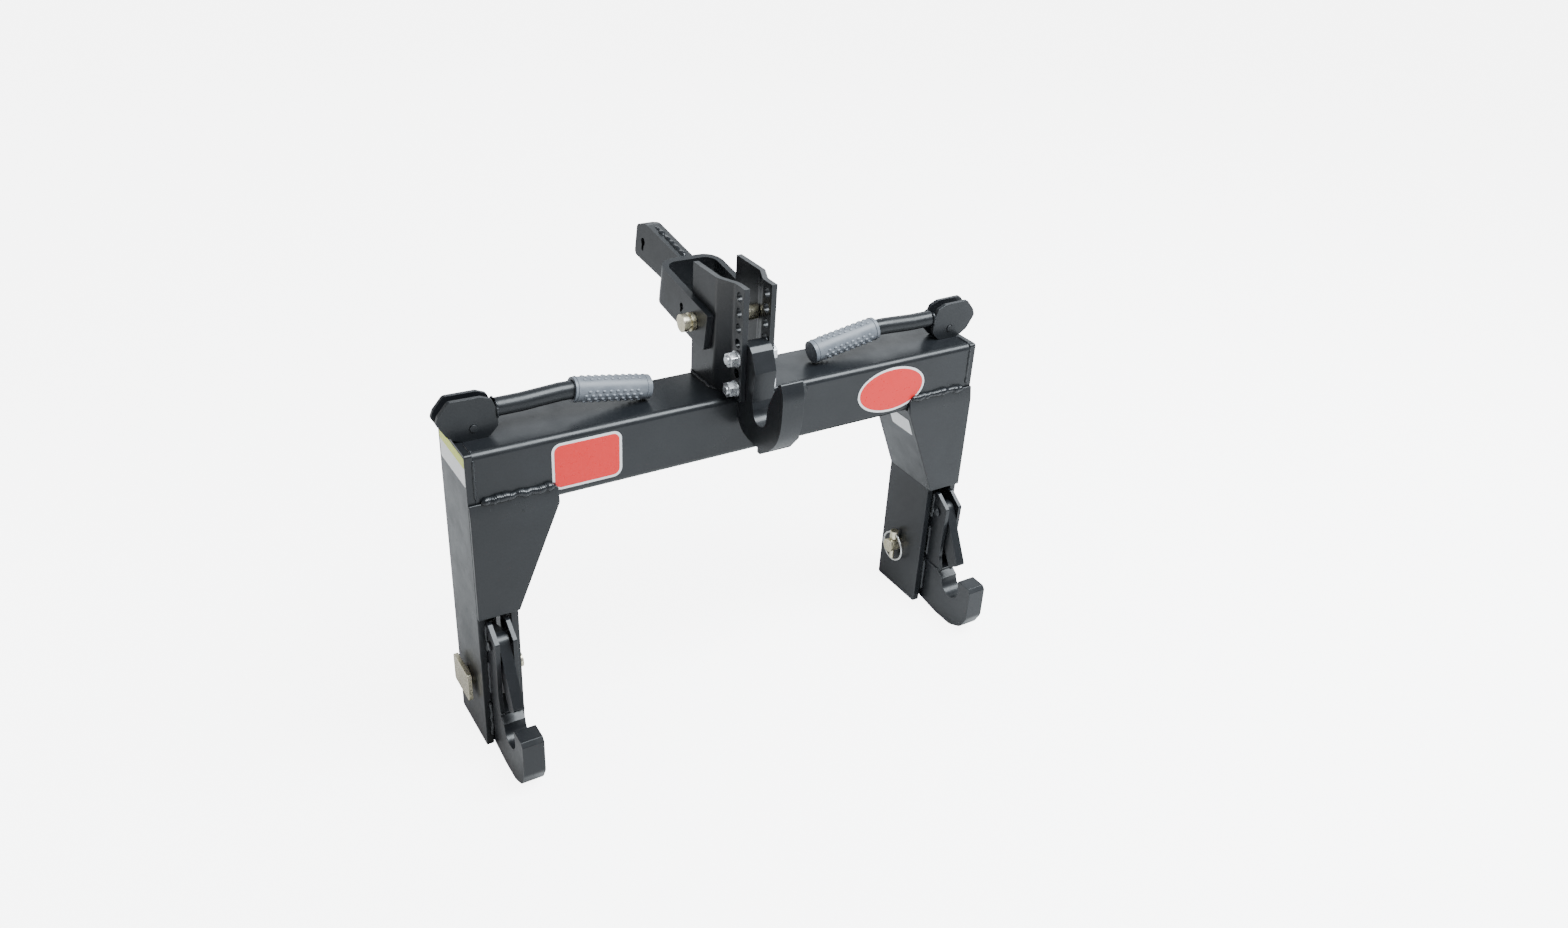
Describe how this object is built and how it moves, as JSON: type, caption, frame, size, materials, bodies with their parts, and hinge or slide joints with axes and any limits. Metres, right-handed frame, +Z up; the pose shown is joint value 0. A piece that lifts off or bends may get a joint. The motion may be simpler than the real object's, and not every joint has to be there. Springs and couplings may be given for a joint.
{
  "type": "tractor three-point quick hitch",
  "caption": "A-shaped quick coupler frame with a box beam, two latching lower hooks, lift levers, a fixed top hook between mast plates and a swinging top bracket.",
  "frame": {"origin": "centre of the bounding box, on the ground the legs stand on", "axes": "+X to the right seen from behind the hooks (across the hitch), +Y from the implement side to the tractor side, +Z up"},
  "size_m": [0.8192, 0.4388, 0.6108],
  "materials": {
    "paint": "semi-gloss",
    "rubber": "satin, nubbed",
    "zinc": "bright zinc plate",
    "yellow_zinc": "yellow zinc plate",
    "spring_steel": "bright spring wire"
  },
  "bodies": {
    "frame": {"beam_tube": "paint", "top_hook": "paint", "backing_plate": "paint", "mast_spacer": "yellow_zinc", "lower_hook_bolt": "zinc", "lower_hook_washer": "zinc", "lower_hook_nut": "zinc", "upper_hook_bolt": "zinc", "upper_hook_washer": "zinc", "upper_hook_nut": "zinc", "left_outer_side_plate": "paint", "left_inner_leg_plate": "paint", "left_gusset": "paint", "left_lower_hook": "paint", "left_outer_ear": "paint", "left_inner_ear": "paint", "left_mast_plate": "paint", "left_latch_pivot_pin": "paint", "left_rod_spring": "spring_steel", "right_outer_side_plate": "paint", "right_inner_leg_plate": "paint", "right_gusset": "paint", "right_lower_hook": "paint", "right_outer_ear": "paint", "right_inner_ear": "paint", "right_mast_plate": "paint", "right_latch_pivot_pin": "paint", "right_rod_spring": "spring_steel"},
    "top_bracket": {"bracket_strap": "paint", "left_tongue_ply": "paint", "right_tongue_ply": "paint"},
    "top_link_pin": {"top_link_pin": "yellow_zinc"},
    "top_lynch_pin": {"top_lynch_pin": "yellow_zinc"},
    "top_lynch_ring": {"top_lynch_ring": "spring_steel"},
    "left_lift_rod": {"left_lift_rod": "paint", "left_tail_pin": "zinc", "left_spring_seat": "paint"},
    "left_lever": {"left_front_lever_cheek": "paint", "left_rear_lever_cheek": "paint", "left_lever_pivot_pin": "paint", "left_lever_tube": "paint", "left_lever_grip": "rubber"},
    "left_latch": {"left_latch": "paint"},
    "left_link_pin": {"left_link_pin": "yellow_zinc"},
    "left_lynch_pin": {"left_lynch_pin": "yellow_zinc"},
    "left_lynch_ring": {"left_lynch_ring": "spring_steel"},
    "right_lift_rod": {"right_lift_rod": "paint", "right_tail_pin": "zinc", "right_spring_seat": "paint"},
    "right_lever": {"right_front_lever_cheek": "paint", "right_rear_lever_cheek": "paint", "right_lever_pivot_pin": "paint", "right_lever_tube": "paint", "right_lever_grip": "rubber"},
    "right_latch": {"right_latch": "paint"},
    "right_link_pin": {"right_link_pin": "yellow_zinc"},
    "right_lynch_pin": {"right_lynch_pin": "yellow_zinc"},
    "right_lynch_ring": {"right_lynch_ring": "spring_steel"}
  },
  "joints": [
    {"name": "top_bracket_hinge", "type": "hinge", "parent": "frame", "child": "top_bracket", "pos_m": [0, -0.03186, 0.5365], "axis": [1, 0, 0], "range_deg": [-65, 113]},
    {"name": "top_link_pin_turn", "type": "hinge", "parent": "frame", "child": "top_link_pin", "pos_m": [0, -0.03186, 0.5365], "axis": [1, 0, 0], "continuous": true},
    {"name": "top_lynch_pull", "type": "slide", "parent": "top_link_pin", "child": "top_lynch_pin", "axis": [0, 0, 1], "range_m": [0, 0.036]},
    {"name": "top_ring_swing", "type": "hinge", "parent": "top_lynch_pin", "child": "top_lynch_ring", "pos_m": [0.057, -0.03186, 0.5547], "axis": [0, -1, 0], "range_deg": [0, 87]},
    {"name": "left_rod_lift", "type": "slide", "parent": "frame", "child": "left_lift_rod", "axis": [0, 0, 1], "range_m": [0, 0.0309], "deforming": ["left_rod_spring"]},
    {"name": "left_lever_swing", "type": "hinge", "parent": "left_lift_rod", "child": "left_lever", "pos_m": [-0.3647, -0.05986, 0.4685], "axis": [0, -1, 0], "range_deg": [0, 90]},
    {"name": "left_latch_swing", "type": "hinge", "parent": "frame", "child": "left_latch", "pos_m": [-0.3647, -0.11886, 0.177], "axis": [1, 0, 0], "range_deg": [0, 29.3]},
    {"name": "left_link_pin_turn", "type": "hinge", "parent": "frame", "child": "left_link_pin", "pos_m": [-0.35, -0.04886, 0.082], "axis": [1, 0, 0], "continuous": true},
    {"name": "left_lynch_pull", "type": "slide", "parent": "left_link_pin", "child": "left_lynch_pin", "axis": [0, 0, 1], "range_m": [0, 0.036]},
    {"name": "left_ring_swing", "type": "hinge", "parent": "left_lynch_pin", "child": "left_lynch_ring", "pos_m": [-0.326, -0.04886, 0.1015], "axis": [0, -1, 0], "range_deg": [0, 87]},
    {"name": "right_rod_lift", "type": "slide", "parent": "frame", "child": "right_lift_rod", "axis": [0, 0, 1], "range_m": [0, 0.0309], "deforming": ["right_rod_spring"]},
    {"name": "right_lever_swing", "type": "hinge", "parent": "right_lift_rod", "child": "right_lever", "pos_m": [0.3647, -0.05986, 0.4685], "axis": [0, 1, 0], "range_deg": [0, 90]},
    {"name": "right_latch_swing", "type": "hinge", "parent": "frame", "child": "right_latch", "pos_m": [0.3647, -0.11886, 0.177], "axis": [1, 0, 0], "range_deg": [0, 29.3]},
    {"name": "right_link_pin_turn", "type": "hinge", "parent": "frame", "child": "right_link_pin", "pos_m": [0.35, -0.04886, 0.082], "axis": [1, 0, 0], "continuous": true},
    {"name": "right_lynch_pull", "type": "slide", "parent": "right_link_pin", "child": "right_lynch_pin", "axis": [0, 0, 1], "range_m": [0, 0.036]},
    {"name": "right_ring_swing", "type": "hinge", "parent": "right_lynch_pin", "child": "right_lynch_ring", "pos_m": [0.326, -0.04886, 0.1015], "axis": [0, 1, 0], "range_deg": [0, 87]}
  ],
  "couplings": [
    {"joint": "top_ring_swing", "follows": "top_lynch_pull", "rad_per_m": 42},
    {"joint": "left_rod_lift", "follows": "left_lever_swing", "m_per_rad": 0.019608},
    {"joint": "left_latch_swing", "follows": "left_lever_swing", "ratio": 0.3249},
    {"joint": "left_ring_swing", "follows": "left_lynch_pull", "rad_per_m": 42},
    {"joint": "right_rod_lift", "follows": "right_lever_swing", "m_per_rad": 0.019608},
    {"joint": "right_latch_swing", "follows": "right_lever_swing", "ratio": 0.3249},
    {"joint": "right_ring_swing", "follows": "right_lynch_pull", "rad_per_m": 42}
  ]
}
